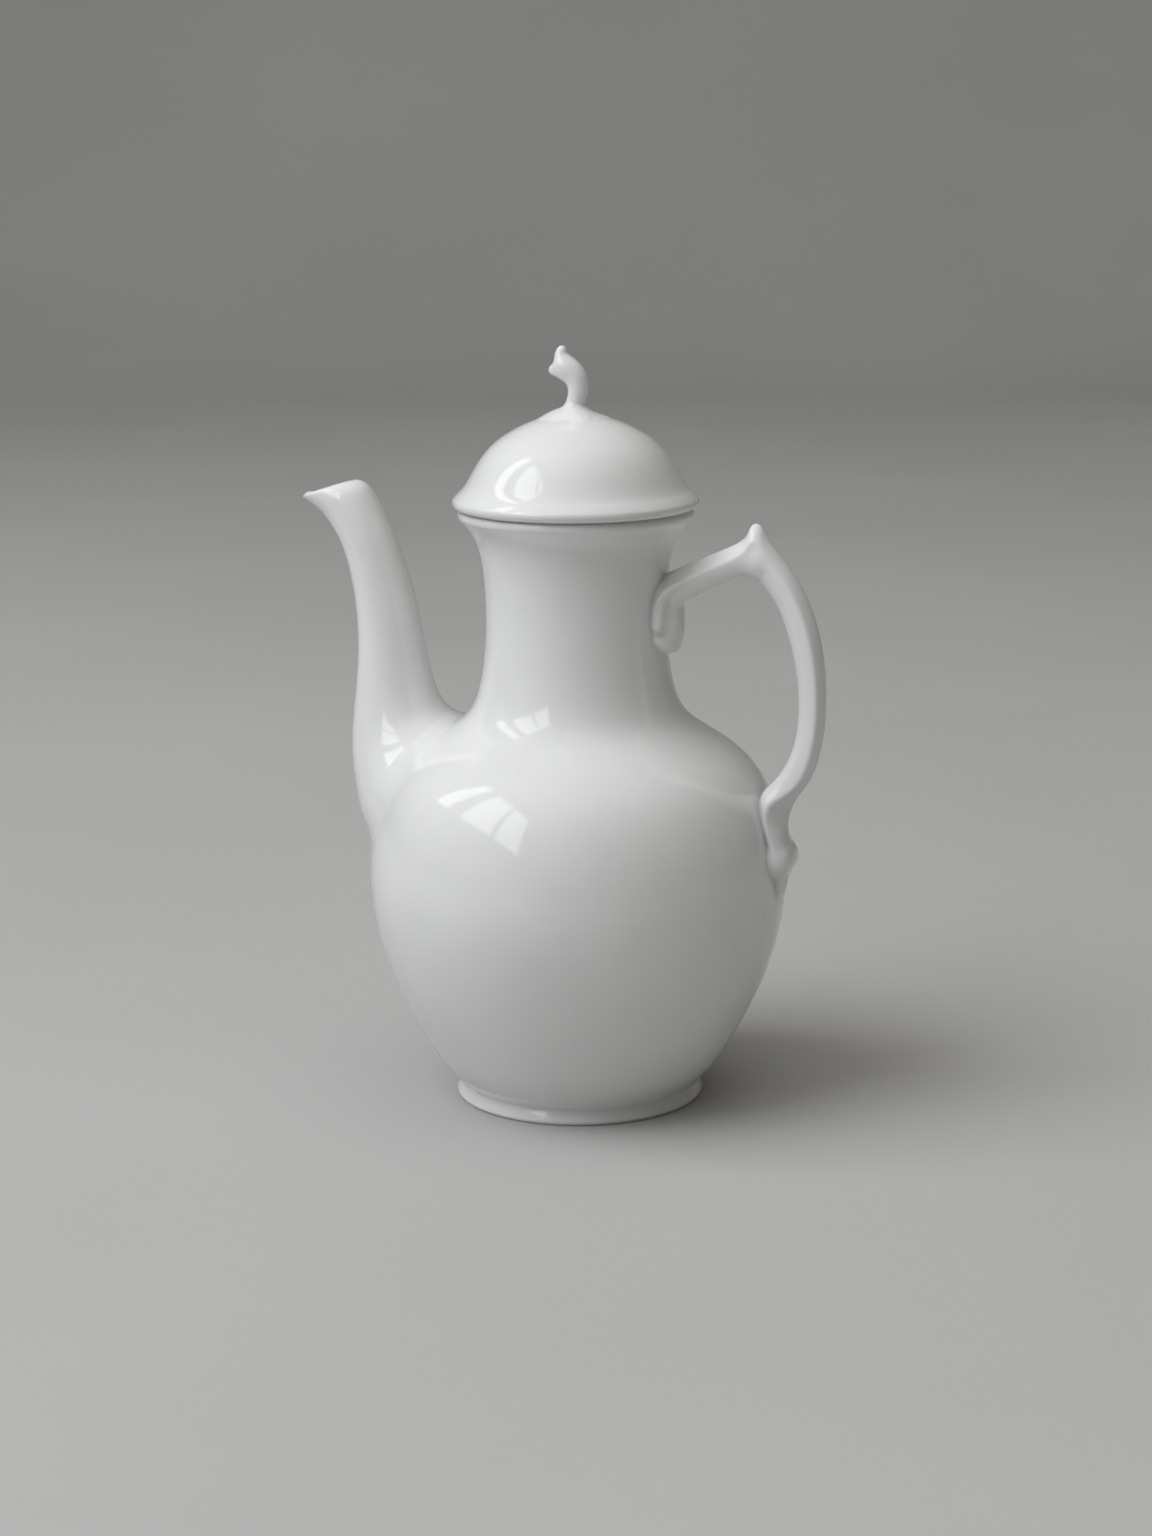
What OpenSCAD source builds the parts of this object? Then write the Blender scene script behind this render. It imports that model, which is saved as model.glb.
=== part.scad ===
// Porcelain coffee pot: a pear-shaped body on a low foot, a swan-neck spout, a scrolled
// handle and a lift-off domed lid with a twig knob.
// The origin is the centre of the foot's resting face. Z is up, the spout points along -X
// and the handle along +X.

/* [Body] */
// Widest radius of the belly
belly_r = 69; // [64:0.5:74]
// Height of the widest part of the belly
belly_z = 76; // [74:0.5:78]
// Narrowest outer radius of the neck
neck_r = 29.8; // [29:0.1:31]
// Outer radius of the rolled rim at the top of the neck
rim_r = 38.5; // [38:0.1:39]
// Height of the rim's flat top, on which the lid rests
rim_z = 197.5; // [195:0.5:200]
// Thickness of the cast wall
wall = 3.5; // [3:0.1:4]
// Thickness of the floor at its middle
floor_t = 4; // [3:0.1:5]

/* [Foot] */
// Outer radius of the foot ring where it rests
foot_r = 41.4; // [40:0.1:42]
// Height of the foot ring
foot_h = 5; // [4:0.1:6]
// Radial width of the ring's resting face
foot_land = 5; // [3.5:0.1:6]

/* [Pour hole] */
// Radius of the hole from the belly into the spout
pour_hole_r = 7.5; // [6:0.5:9]
// Height of the hole's middle
pour_hole_z = 100; // [98:0.5:102]
// Upward tilt of the hole, square to the wall
pour_hole_tilt = 20; // [15:1:25]

/* [Spout] */
// Half width of the spout's root on the belly
root_half_w = 38; // [34:0.5:40]
// Lowest point of the root on the belly
root_low_z = 79; // [77:0.5:81]
// Highest point of the root, at the base of the neck
root_high_z = 124.5; // [124:0.5:126]
// Thickness of the spout's wall at the root
spout_wall = 3; // [2.5:0.1:3.5]
// Thickness of the spout's wall at the mouth
mouth_wall = 1.6; // [1.4:0.1:2]

/* [Handle] */
// Half width of the handle's arm and loop
strap_half_w = 5; // [4:0.1:6]
// Half width of the tongue that is pressed onto the neck
tongue_half_w = 10.5; // [9:0.1:11]
// Half width of the bead at the foot of the handle
bead_half_w = 10.5; // [9:0.1:11]

/* [Lid] */
// Largest radius of the lid, at its rolled edge
lid_r = 40.2; // [39.8:0.1:41]
// Height of the dome above the seat
lid_h = 30; // [28:0.5:32]
// Thickness of the dome
lid_wall = 3.2; // [2.8:0.1:3.6]
// Clearance between the lid's seat and the rim
seat_gap = 0.05; // [0.02:0.01:0.2]
// Outer radius of the flange that centres the lid in the neck
flange_r = 26.4; // [25.5:0.1:26.6]
// Thickness of the flange
flange_t = 3; // [2.5:0.1:3.5]
// Depth of the flange below the rim
flange_depth = 17; // [12:0.5:18]

/* [Knob] */
// Radius of the twig at the middle of its height
twig_r = 3.5; // [3.2:0.1:4]
// Height of the twig's shoot above the dome
twig_h = 22; // [20:0.5:23]

/* [Hidden] */
$fn = 96;

porcelain = [0.93, 0.94, 0.93];

// How far a luted piece sinks into the wall that it sits on
luting = 1.2;
// Corners of a spout ring and of a handle ring
spout_sides = 36;
strap_sides = 16;
// Points that a spline adds for each of its control points
outline_steps = 6;
loft_steps = 3;

// ---------- curves ----------

// One point of a uniform cubic B-spline, from four control points
function spline_at(a, b, c, d, u) =
    (pow(1 - u, 3) * a + (3 * pow(u, 3) - 6 * u * u + 4) * b
        + (-3 * pow(u, 3) + 3 * u * u + 3 * u + 1) * c + pow(u, 3) * d) / 6;

// A cubic B-spline through its two end points, with steps points for each span
function spline(p, steps) =
    let (
        last = p[len(p) - 1],
        q = concat([p[0], p[0]], p, [last, last])
    )
    concat(
        [for (i = [0 : len(q) - 4]) for (k = [0 : steps - 1])
            spline_at(q[i], q[i + 1], q[i + 2], q[i + 3], k / steps)],
        [last]
    );

// A circular arc in the plane of a half section
function arc(centre, r, from, to, steps) =
    [for (i = [0 : steps]) let (t = from + (to - from) * i / steps)
        centre + r * [cos(t), sin(t)]];

// An outline moved by a distance to its left, as seen along its direction
function shifted(p, d) =
    [for (i = [0 : len(p) - 1])
        let (
            t = p[min(i + 1, len(p) - 1)] - p[max(i - 1, 0)],
            n = [-t[1], t[0]] / norm(t)
        )
        p[i] + d * n];

function reversed(p) = [for (i = [len(p) - 1 : -1 : 0]) p[i]];

// ---------- lofts ----------

// A closed solid through rings of equal length, with flat ends
module loft(rings) {
    n = len(rings[0]);
    m = len(rings);
    points = [for (r = rings) for (p = r) p];
    sides = [for (j = [0 : m - 2]) for (i = [0 : n - 1])
        let (k = (i + 1) % n)
        each [[j * n + i, j * n + k, (j + 1) * n + k], [j * n + i, (j + 1) * n + k, (j + 1) * n + i]]];
    bottom = [[for (i = [n - 1 : -1 : 0]) i]];
    top = [[for (i = [0 : n - 1]) (m - 1) * n + i]];
    polyhedron(points, concat(sides, bottom, top));
}

// A closed tube through rings of equal length, the last of which joins the first
module tube(rings) {
    n = len(rings[0]);
    m = len(rings);
    points = [for (r = rings) for (p = r) p];
    sides = [for (j = [0 : m - 1]) for (i = [0 : n - 1])
        let (
            k = (i + 1) % n,
            a = j * n,
            b = ((j + 1) % m) * n
        )
        each [[a + i, a + k, b + k], [a + i, b + k, b + i]]];
    polyhedron(points, sides);
}

// A ring between two edge points of the pot's middle plane, each [distance from the axis,
// height], with a half width across that plane; side is -1 on the spout's side and 1 on
// the handle's
function oval(outer, inner, half_w, side, n) =
    [for (i = [0 : n - 1])
        let (
            t = 360 * i / n,
            p = (outer + inner) / 2 + cos(t) * (outer - inner) / 2
        )
        [side * p[0], -side * half_w * sin(t), p[1]]];

// Rings of a station list, each [outer r, outer z, inner r, inner z, half width]
function ovals(stations, side, n) =
    [for (s = stations) oval([s[0], s[1]], [s[2], s[3]], s[4], side, n)];

// A round ring square to a path in the pot's middle plane
function round_ring(at, along, r, n) =
    let (u = along / norm(along))
    [for (i = [0 : n - 1])
        let (t = 360 * i / n)
        [at[0] + r * cos(t) * u[1], r * sin(t), at[1] - r * cos(t) * u[0]]];

// A round twig along a path, each point [x, z, radius]
function twig(p, n) =
    [for (i = [0 : len(p) - 1])
        let (along = p[min(i + 1, len(p) - 1)] - p[max(i - 1, 0)])
        round_ring([p[i][0], p[i][1]], [along[0], along[1]], p[i][2], n)];

// ---------- body ----------

body_top = rim_z - 5;
// Control points of the outer wall, from the foot to the flare below the rim
outer_wall = spline([
    [foot_r - 1.9, foot_h],
    [foot_r + 4.8, foot_h + 6],
    [belly_r - 15, belly_z - 52],
    [belly_r - 4.7, belly_z - 32],
    [belly_r + 2.2, belly_z - 2],
    [belly_r - 3.2, belly_z + 25],
    [belly_r - 12.3, belly_z + 40],
    [neck_r + 8.4, belly_z + 50],
    [neck_r + 2.5, belly_z + 58],
    [neck_r - 0.7, belly_z + 79],
    [neck_r + 0.3, body_top - 14.5],
    [neck_r + 2.8, body_top - 4.5],
    [rim_r - 2.2, body_top - 0.2]
], outline_steps);
floor_z = foot_h + floor_t;
inner_wall = [for (p = shifted(outer_wall, wall)) if (p[1] > floor_z + 2) p];
rim_round = 2;
rim_land_r = 34.6;
wall_radius = [for (p = outer_wall) [p[1], p[0]]];
// Outer radius of the body at a height
function body_r(z) = lookup(z, wall_radius);

module body_shell() {
    color(porcelain)
    difference() {
        rotate_extrude()
        polygon(concat(
            [[0, foot_h]],
            outer_wall,
            arc([rim_r - rim_round, rim_z - rim_round], rim_round, -45, 90, 8),
            [[rim_land_r + 1, rim_z], [rim_land_r, rim_z - 1]],
            reversed(inner_wall),
            [[foot_r - 8, floor_z], [0, floor_z]]
        ));
        translate([-body_r(pour_hole_z) + wall / 2, 0, pour_hole_z])
        rotate([0, pour_hole_tilt - 90, 0])
        cylinder(h = 5 * wall, r = pour_hole_r, center = true);
    }
}

module foot_ring() {
    edge = 1.2;
    color(porcelain)
    rotate_extrude()
    polygon(concat(
        [[foot_r - foot_land - 1.2, foot_h], [foot_r - foot_land, 0.6],
            [foot_r - foot_land + 0.6, 0]],
        arc([foot_r - edge, edge], edge, -90, 20, 6),
        [[foot_r - 1, foot_h - 1.6], [foot_r - 1.9, foot_h]]
    ));
}

// ---------- spout ----------

// Stations from the root to the mouth: front edge r and z, back edge r and z, half width
spout_stations = spline([
    [74, 91, 45.5, 126.5, 27],
    [78, 103, 49.5, 129.5, 20],
    [79.5, 118, 52, 137, 16],
    [77, 136, 54, 148, 13.5],
    [76, 152, 56.5, 161, 12],
    [77.5, 168, 60, 174, 10.8],
    [81, 182, 65, 188, 10],
    [87, 191, 70.5, 198.5, 9],
    [91.5, 195, 73, 202.5, 8.6],
    [96.4, 198.1, 76.8, 203.8, 7.6]
], loft_steps);

// The root's ring on the belly, inset by a distance and sunk into the wall
function root_ring(inset) =
    [for (i = [0 : spout_sides - 1])
        let (
            t = 360 * i / spout_sides,
            z = (root_low_z + root_high_z) / 2
                - ((root_high_z - root_low_z) / 2 - inset) * cos(t),
            y = (root_half_w - inset) * sin(t),
            r = body_r(z) - luting
        )
        [-sqrt(r * r - y * y), y, z]];

// A station moved inwards by the spout's wall, which thins towards the mouth
function inset_station(s, share) =
    let (
        outer = [s[0], s[1]],
        inner = [s[2], s[3]],
        t = spout_wall + (mouth_wall - spout_wall) * share,
        u = t * (outer - inner) / norm(outer - inner)
    )
    [s[0] - u[0], s[1] - u[1], s[2] + u[0], s[3] + u[1], s[4] - t];

mouth_station = len(spout_stations) - 1;
bore_stations =
    [for (i = [0 : mouth_station]) inset_station(spout_stations[i], i / mouth_station)];

// The station where the spout's two lengths meet face to face
middle_station = 16;

// The spout's wall between two stations, as rings up its outside and down its bore
function spout_rings(from, to) =
    concat(
        ovals([for (i = [from : to]) spout_stations[i]], -1, spout_sides),
        ovals([for (i = [to : -1 : from]) bore_stations[i]], -1, spout_sides)
    );

module spout_lower() {
    color(porcelain)
    tube(concat(
        [root_ring(0)],
        spout_rings(0, middle_station),
        [root_ring(2.5 * spout_wall)]
    ));
}

module spout_upper() {
    color(porcelain)
    tube(spout_rings(middle_station, mouth_station));
}

// ---------- handle ----------

// The joints between the handle's parts, each an oval of its own
arm_end = [28, 176.5, 28, 164, strap_half_w + 3];
loop_end = [72.6, 101.5, 60.5, 106.5, 6.5];
scroll_end = [73, 92.5, body_r(91) - luting, 91, 9];
bead_end = [72.4, 79.4, body_r(80) - luting, 80, 6];
drop_end = [69.6, 72.4, body_r(73) - luting, 73, 1.5];

module handle_loop() {
    spur = [61.4, 195.6, 61, 177.2, strap_half_w];
    arm = spline([
        arm_end,
        [33, 178.6, 35, 167, strap_half_w + 2.5],
        [39, 181.8, 42, 171.2, strap_half_w + 0.8],
        [48, 185.5, 50, 175.5, strap_half_w],
        [55, 188.5, 57, 177.8, strap_half_w],
        [59, 193, 60, 177.6, strap_half_w],
        spur
    ], loft_steps);
    loop = spline([
        spur,
        [63.5, 192.4, 62, 176.4, strap_half_w],
        [67.5, 186, 64.8, 173.5, strap_half_w],
        [76, 177, 69, 167.5, strap_half_w],
        [83, 161, 73, 155.5, strap_half_w],
        [85.5, 142, 75.6, 141, strap_half_w],
        [84.5, 124, 75.2, 126.5, strap_half_w],
        [80.5, 111, 71.5, 116.5, strap_half_w],
        [75.5, 106, 66.5, 110, strap_half_w + 0.5],
        loop_end
    ], loft_steps);
    color(porcelain)
    loft(ovals(concat(arm, [for (i = [1 : len(loop) - 1]) loop[i]]), 1, strap_sides));
}

// A tongue with two raised edges, pressed onto the neck below the arm
module handle_upper_scroll() {
    back = neck_r - 2;
    // Height, reach of the middle, reach of the raised edges, half width
    sections = [
        [172.5, 34, 31.5, tongue_half_w - 3],
        [169, 35.8, 33.4, tongue_half_w - 0.8],
        [165, 36.4, 33.6, tongue_half_w],
        [161, 36.4, 33.4, tongue_half_w],
        [158.5, 36.4, 32.6, tongue_half_w - 1],
        [155.5, 36.2, 31.8, tongue_half_w - 3],
        [153, 35, 31, tongue_half_w - 4.5],
        [151.2, 32.6, 30.4, tongue_half_w - 6.5]
    ];
    color(porcelain)
    loft([for (s = reversed(sections)) [
        [back, -s[3], s[0]],
        [back, s[3], s[0]],
        [s[2], s[3], s[0]],
        [s[2] + 0.6, s[3] - 1.8, s[0]],
        [(s[1] + s[2]) / 2 - 0.4, s[3] * 0.6, s[0]],
        [s[1], s[3] * 0.3, s[0]],
        [s[1], -s[3] * 0.3, s[0]],
        [(s[1] + s[2]) / 2 - 0.4, -s[3] * 0.6, s[0]],
        [s[2] + 0.6, -s[3] + 1.8, s[0]],
        [s[2], -s[3], s[0]]
    ]]);
}

module handle_lower_scroll() {
    color(porcelain)
    loft(ovals([
        loop_end,
        [71.6, 99.5, body_r(102) - luting, 102, 7.2],
        [71.2, 97, body_r(98) - luting, 98, 8],
        [71.6, 95, body_r(94.5) - luting, 94.5, 8.6],
        scroll_end
    ], 1, strap_sides));
}

module handle_bead() {
    color(porcelain)
    loft(ovals([
        scroll_end,
        [74.2, 89.5, body_r(88.5) - luting, 88.5, bead_half_w - 0.4],
        [74.8, 86.5, body_r(86.5) - luting, 86.5, bead_half_w],
        [74.6, 84, body_r(84.5) - luting, 84.5, bead_half_w - 0.2],
        [73.8, 81.4, body_r(82) - luting, 82, 8.8],
        bead_end
    ], 1, strap_sides));
}

module handle_drop() {
    color(porcelain)
    loft(ovals([
        bead_end,
        [72.2, 77.6, body_r(78) - luting, 78, 3.8],
        [71.6, 75.2, body_r(76) - luting, 76, 3],
        drop_end
    ], 1, strap_sides));
}

// ---------- lid ----------

seat_z = rim_z + seat_gap;
lid_top = seat_z + lid_h;
roll_r = 2;
lid_outer = spline([
    [lid_r - 1.2, seat_z + 4.2],
    [lid_r - 3.6, seat_z + 6.2],
    [lid_r - 5.8, seat_z + 10],
    [lid_r - 9.4, seat_z + 16.5],
    [lid_r - 15.4, seat_z + 22.8],
    [lid_r - 26, lid_top - 1.8],
    [lid_r - 34, lid_top],
    [0, lid_top + 0.2]
], outline_steps);
// The hollow under the dome keeps the dome's thickness down to the seat's ring
lid_inner = [for (p = shifted(lid_outer, lid_wall))
    if (p[0] > 0.5 && p[1] > seat_z + 7) p];

module lid_dome() {
    color(porcelain)
    rotate_extrude()
    polygon(concat(
        [[flange_r - flange_t, seat_z]],
        arc([lid_r - roll_r, seat_z + roll_r], roll_r, -90, 35, 10),
        lid_outer,
        [[0, lid_top - lid_wall]],
        reversed(lid_inner),
        [[flange_r - flange_t, seat_z + 4]]
    ));
}

module lid_flange() {
    edge = 1;
    color(porcelain)
    rotate_extrude()
    polygon([
        [flange_r - flange_t, seat_z],
        [flange_r - flange_t, rim_z - flange_depth + edge],
        [flange_r - flange_t + edge, rim_z - flange_depth],
        [flange_r - edge, rim_z - flange_depth],
        [flange_r, rim_z - flange_depth + edge],
        [flange_r, seat_z]
    ]);
}

// ---------- knob ----------

knob_base = lid_top - 0.8;
twig_top = lid_top + twig_h;

module knob_twig() {
    color(porcelain)
    loft(twig(spline([
        [0.4, knob_base, 2.2 * twig_r],
        [0.2, knob_base + 2, 1.6 * twig_r],
        [0.4, knob_base + 4.5, 1.05 * twig_r],
        [1.1, twig_top - 14.8, twig_r],
        [0.7, twig_top - 10.8, 1.1 * twig_r],
        [-1.4, twig_top - 7.8, 1.1 * twig_r],
        [-3.6, twig_top - 6.4, 0.95 * twig_r]
    ], loft_steps), strap_sides));
}

module knob_shoot() {
    color(porcelain)
    loft(twig(spline([
        [-2.6, twig_top - 7.8, 0.8 * twig_r],
        [-4.2, twig_top - 5, 0.72 * twig_r],
        [-5.2, twig_top - 2, 0.6 * twig_r],
        [-5.2, twig_top, 0.3 * twig_r]
    ], loft_steps), strap_sides));
}

module knob_stub() {
    color(porcelain)
    loft(twig(spline([
        [-3.2, twig_top - 7.6, 0.8 * twig_r],
        [-5.4, twig_top - 8, 0.66 * twig_r],
        [-7.6, twig_top - 8, 0.62 * twig_r],
        [-9, twig_top - 7.8, 0.4 * twig_r]
    ], loft_steps), strap_sides));
}

module knob_leaves() {
    color(porcelain)
    for (a = [20 : 72 : 308])
        rotate([0, 0, a])
        loft([for (s = [[5, 3.2, 1.6], [8, 4.2, 1.5], [12, 3.4, 1.1], [15.5, 1, 0.3]])
            let (z = lookup(s[0], [for (p = reversed(lid_outer)) [p[0], p[1]]]))
            [
                [s[0], -s[1], z - 0.8],
                [s[0], s[1], z - 0.8],
                [s[0], 0.5 * s[1], z + s[2]],
                [s[0], -0.5 * s[1], z + s[2]]
            ]]);
}

body_shell();
foot_ring();
spout_lower();
spout_upper();
handle_loop();
handle_upper_scroll();
handle_lower_scroll();
handle_bead();
handle_drop();
lid_dome();
lid_flange();
knob_twig();
knob_shoot();
knob_stub();
knob_leaves();
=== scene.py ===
"""The glazed look of the coffee pot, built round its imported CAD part.

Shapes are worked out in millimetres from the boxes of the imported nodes, and turned into metres
when a mesh is made. +Z is up, the spout points along -X and the handle along +X.
Turned pieces are lathed meshes. The spout, handle and knob are shaped as signed distances in a
block of voxels, so that luted joints get the soft fillets that a glaze leaves.
"""
import math
from itertools import product

import bpy
import numpy as np
import openvdb as vdb
from mathutils import Matrix, Vector


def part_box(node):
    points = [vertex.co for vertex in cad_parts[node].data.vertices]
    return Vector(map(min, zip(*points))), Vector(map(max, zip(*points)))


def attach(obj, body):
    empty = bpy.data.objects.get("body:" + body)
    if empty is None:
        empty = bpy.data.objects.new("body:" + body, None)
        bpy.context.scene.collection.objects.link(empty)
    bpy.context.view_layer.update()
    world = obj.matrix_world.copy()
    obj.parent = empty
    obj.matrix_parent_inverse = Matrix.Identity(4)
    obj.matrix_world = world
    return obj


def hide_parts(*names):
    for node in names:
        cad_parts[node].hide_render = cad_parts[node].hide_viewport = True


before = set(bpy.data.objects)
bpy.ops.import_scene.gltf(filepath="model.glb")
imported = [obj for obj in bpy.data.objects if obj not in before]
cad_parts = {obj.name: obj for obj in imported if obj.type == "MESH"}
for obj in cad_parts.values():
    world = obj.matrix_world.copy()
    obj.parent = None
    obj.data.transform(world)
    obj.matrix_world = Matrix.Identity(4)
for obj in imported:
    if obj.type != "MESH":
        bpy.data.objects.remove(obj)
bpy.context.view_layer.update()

MM = 0.001


# ---------- sizes, from the frame ----------

def corners(*nodes):
    """Lowest and highest corner of some CAD nodes together, in millimetres."""
    boxes = [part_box(node) for node in nodes]
    low = np.min([np.array(b[0]) for b in boxes], axis=0)
    high = np.max([np.array(b[1]) for b in boxes], axis=0)
    return low / MM, high / MM


SPOUT = ("spout_lower", "spout_upper")
HANDLE = ("handle_loop", "handle_upper_scroll", "handle_lower_scroll", "handle_bead",
          "handle_drop")
KNOB = ("knob_twig", "knob_shoot", "knob_stub", "knob_leaves")
foot_r, foot_h = corners("foot_ring")[1][1:]
belly_r, rim_z = corners("body_shell")[1][1:]
mouth_tip = -corners(*SPOUT)[0][0]
mouth_top = corners(*SPOUT)[1][2]
root_low_z = corners(*SPOUT)[0][2]
handle_reach, spur_z = corners("handle_loop")[1][[0, 2]]
tongue_low_z = corners("handle_upper_scroll")[0][2]
drop_low_z = corners("handle_drop")[0][2]
lid_r, lid_top = corners("lid_dome")[1][1:]
seat_z = corners("lid_dome")[0][2]
flange_low, flange_high = corners("lid_flange")
flange_r, flange_t = flange_high[1], 3
twig_top = corners("knob_shoot")[1][2]
twig_x = corners("knob_stub")[0][0]

# The belly's line bulges past its control points by the first of these, and the middle of the dome
# rises above its shoulder's control points by the second
belly_swell, dome_rise = 0.15, 0.2
belly_r -= belly_swell
lid_top -= dome_rise
# What the nodes' boxes don't tell: the belly's widest height, the neck and rim, and the clay
belly_z = 76
neck_r, rim_r = 29.8, 38.5
wall, floor_t = 3.5, 4
# How deep a luted piece reaches into the wall under it, out of sight
luting = 1.2
# A piece's fillet starts this far under the wall, so that it leaves it at a shallow angle
skin = 0.05


# ---------- lines ----------

def spline(points, steps):
    """A uniform cubic B-spline through its two end points, with steps points for each span."""
    p = np.asarray(points, float)
    p = np.vstack([p[:1], p[:1], p, p[-1:], p[-1:]])
    u = np.arange(steps)[:, None] / steps
    weights = [(1 - u) ** 3, 3 * u**3 - 6 * u**2 + 4, -3 * u**3 + 3 * u**2 + 3 * u + 1, u**3]
    spans = [sum(w * q for w, q in zip(weights, p[i:i + 4])) / 6 for i in range(len(p) - 3)]
    return np.vstack(spans + [p[-1:]])


def arc(centre, radius, start, end, steps):
    """A circular arc, with its angles in degrees."""
    t = np.radians(np.linspace(start, end, steps + 1))
    return np.asarray(centre) + radius * np.column_stack([np.cos(t), np.sin(t)])


def shifted(line, distance):
    """A line moved to its left, as seen along its direction."""
    along = np.gradient(line, axis=0)
    along /= np.linalg.norm(along, axis=1)[:, None]
    return line + distance * np.column_stack([-along[:, 1], along[:, 0]])


def even(line, step):
    """The same line with its points evenly spaced."""
    length = np.concatenate([[0], np.cumsum(np.linalg.norm(np.diff(line, axis=0), axis=1))])
    at = np.linspace(0, length[-1], max(2, round(length[-1] / step) + 1))
    return np.column_stack([np.interp(at, length, c) for c in line.T])


# ---------- turned pieces ----------

SEGMENTS = 256
PROFILE_STEP = 1.0
SHARP_ANGLE = math.radians(35)
ON_AXIS = 1e-6


def new_object(name, points, faces):
    """A mesh object from points in millimetres."""
    mesh = bpy.data.meshes.new(name)
    mesh.from_pydata((np.asarray(points) * MM).tolist(), [], faces)
    mesh.validate()
    obj = bpy.data.objects.new(name, mesh)
    bpy.context.scene.collection.objects.link(obj)
    return obj


def lathe(name, profile):
    """A closed turned solid. The profile starts and ends on the axis, or is a closed loop off it."""
    turns = np.arange(SEGMENTS) * 2 * math.pi / SEGMENTS
    points, rows = [], []
    for r, z in profile:
        count = len(points)
        if r < ON_AXIS:
            points.append((0, 0, z))
            rows.append([count] * SEGMENTS)
        else:
            points += [(r * math.cos(t), r * math.sin(t), z) for t in turns]
            rows.append(list(range(count, count + SEGMENTS)))
    if profile[0][0] >= ON_AXIS:
        rows.append(rows[0])
    faces = []
    for low, high in zip(rows, rows[1:]):
        for i in range(SEGMENTS):
            j = (i + 1) % SEGMENTS
            face = [low[i], low[j], high[j], high[i]]
            faces.append(list(dict.fromkeys(face)))
    obj = new_object(name, points, faces)
    obj.data.shade_smooth()
    obj.data.set_sharp_from_angle(angle=SHARP_ANGLE)
    return obj


# The outlines, as points (r, z): the body from foot to rim, and the lid from its edge to the top
body_top = rim_z - 5
outer_wall = spline([
    (foot_r - 1.4, foot_h),
    (foot_r - 1.1, foot_h + 0.8),
    (foot_r + 5, foot_h + 6.2),
    (belly_r - 15, belly_z - 52),
    (belly_r - 4.7, belly_z - 32),
    (belly_r + 2.2, belly_z - 2),
    (belly_r - 3.2, belly_z + 25),
    (belly_r - 12.3, belly_z + 40),
    (neck_r + 8.4, belly_z + 50),
    (neck_r + 2.5, belly_z + 58),
    (neck_r - 0.7, belly_z + 79),
    (neck_r + 0.3, body_top - 14.5),
    (neck_r + 2.8, body_top - 4.5),
    (rim_r - 2.2, body_top - 0.2),
], 24)
lid_outer = spline([
    (lid_r - 1.2, seat_z + 4.2),
    (lid_r - 3.6, seat_z + 6.2),
    (lid_r - 5.8, seat_z + 10),
    (lid_r - 9.4, seat_z + 16.5),
    (lid_r - 15.4, seat_z + 22.8),
    (lid_r - 26, lid_top - 1.8),
    (lid_r - 34, lid_top),
    (0, lid_top + dome_rise),
], 24)


def pour_hole(body):
    """Pierces the hole from the belly into the spout."""
    hole_r, height, tilt = 7.5, 100, 20
    middle_r = np.interp(height, outer_wall[:, 1], outer_wall[:, 0]) - wall / 2
    length, sides = 5 * wall, 64
    turn = np.array(Matrix.Rotation(math.radians(tilt - 90), 3, "Y"))
    ring = [(hole_r * math.cos(t), hole_r * math.sin(t))
            for t in np.arange(sides) * 2 * math.pi / sides]
    points = [(x, y, end * length) for end in (-0.5, 0.5) for x, y in ring]
    low = list(range(sides))
    high = [i + sides for i in low]
    faces = [low[::-1], high]
    faces += [[low[i - 1], low[i], high[i], high[i - 1]] for i in range(sides)]
    cutter = new_object("cutter", points @ turn.T + [-middle_r, 0, height], faces)
    cut = body.modifiers.new("pour_hole", "BOOLEAN")
    cut.operation = "DIFFERENCE"
    cut.object = cutter
    cut.solver = "EXACT"
    settle(body)
    body.data.set_sharp_from_angle(angle=SHARP_ANGLE)
    bpy.data.objects.remove(cutter)


def settle(obj):
    """Applies an object's modifiers to its mesh."""
    seen = bpy.context.evaluated_depsgraph_get()
    seen.update()
    mesh = bpy.data.meshes.new_from_object(obj.evaluated_get(seen))
    obj.modifiers.clear()
    obj.data = mesh


def make_body():
    """The pot's one wall, from under its floor up to the rim and back down inside."""
    rim_round, lip_r, lip_round = 2, 34.6, 0.8
    floor_z = foot_h + floor_t
    inner = shifted(outer_wall, wall)
    inner = inner[(inner[:, 1] > floor_z + 2) & (inner[:, 1] < rim_z - 3.5)]
    inner_foot = spline([(0, floor_z), (foot_r - 12, floor_z + 0.1), (foot_r - 4, floor_z + 0.6),
                         inner[0]], 12)
    profile = np.vstack([
        [(0, foot_h), (foot_r - 9, foot_h), (foot_r - 2.6, foot_h)],
        even(outer_wall, PROFILE_STEP),
        arc((rim_r - rim_round, rim_z - rim_round), rim_round, -45, 90, 16),
        arc((lip_r + lip_round, rim_z - lip_round), lip_round, 90, 165, 6),
        even(inner, PROFILE_STEP)[::-1],
        even(inner_foot, 2 * PROFILE_STEP)[-2::-1],
    ])
    profile[-1, 0] = 0
    body = lathe("body_shell", profile)
    pour_hole(body)
    return body


def make_foot():
    edge, land = 1.2, 5
    inner_r = foot_r - land
    return lathe("foot_ring", np.vstack([
        spline([(inner_r - 1.2, foot_h), (inner_r - 0.6, 2.6), (inner_r - 0.2, 1),
                (inner_r + 0.8, 0)], 6),
        arc((foot_r - edge, edge), edge, -90, 18, 8),
        spline([(foot_r - 0.3, 2.1), (foot_r - 0.8, foot_h - 1.6), (foot_r - 1.3, foot_h - 0.7),
                (foot_r - 1.4, foot_h)], 5),
    ]))


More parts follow.
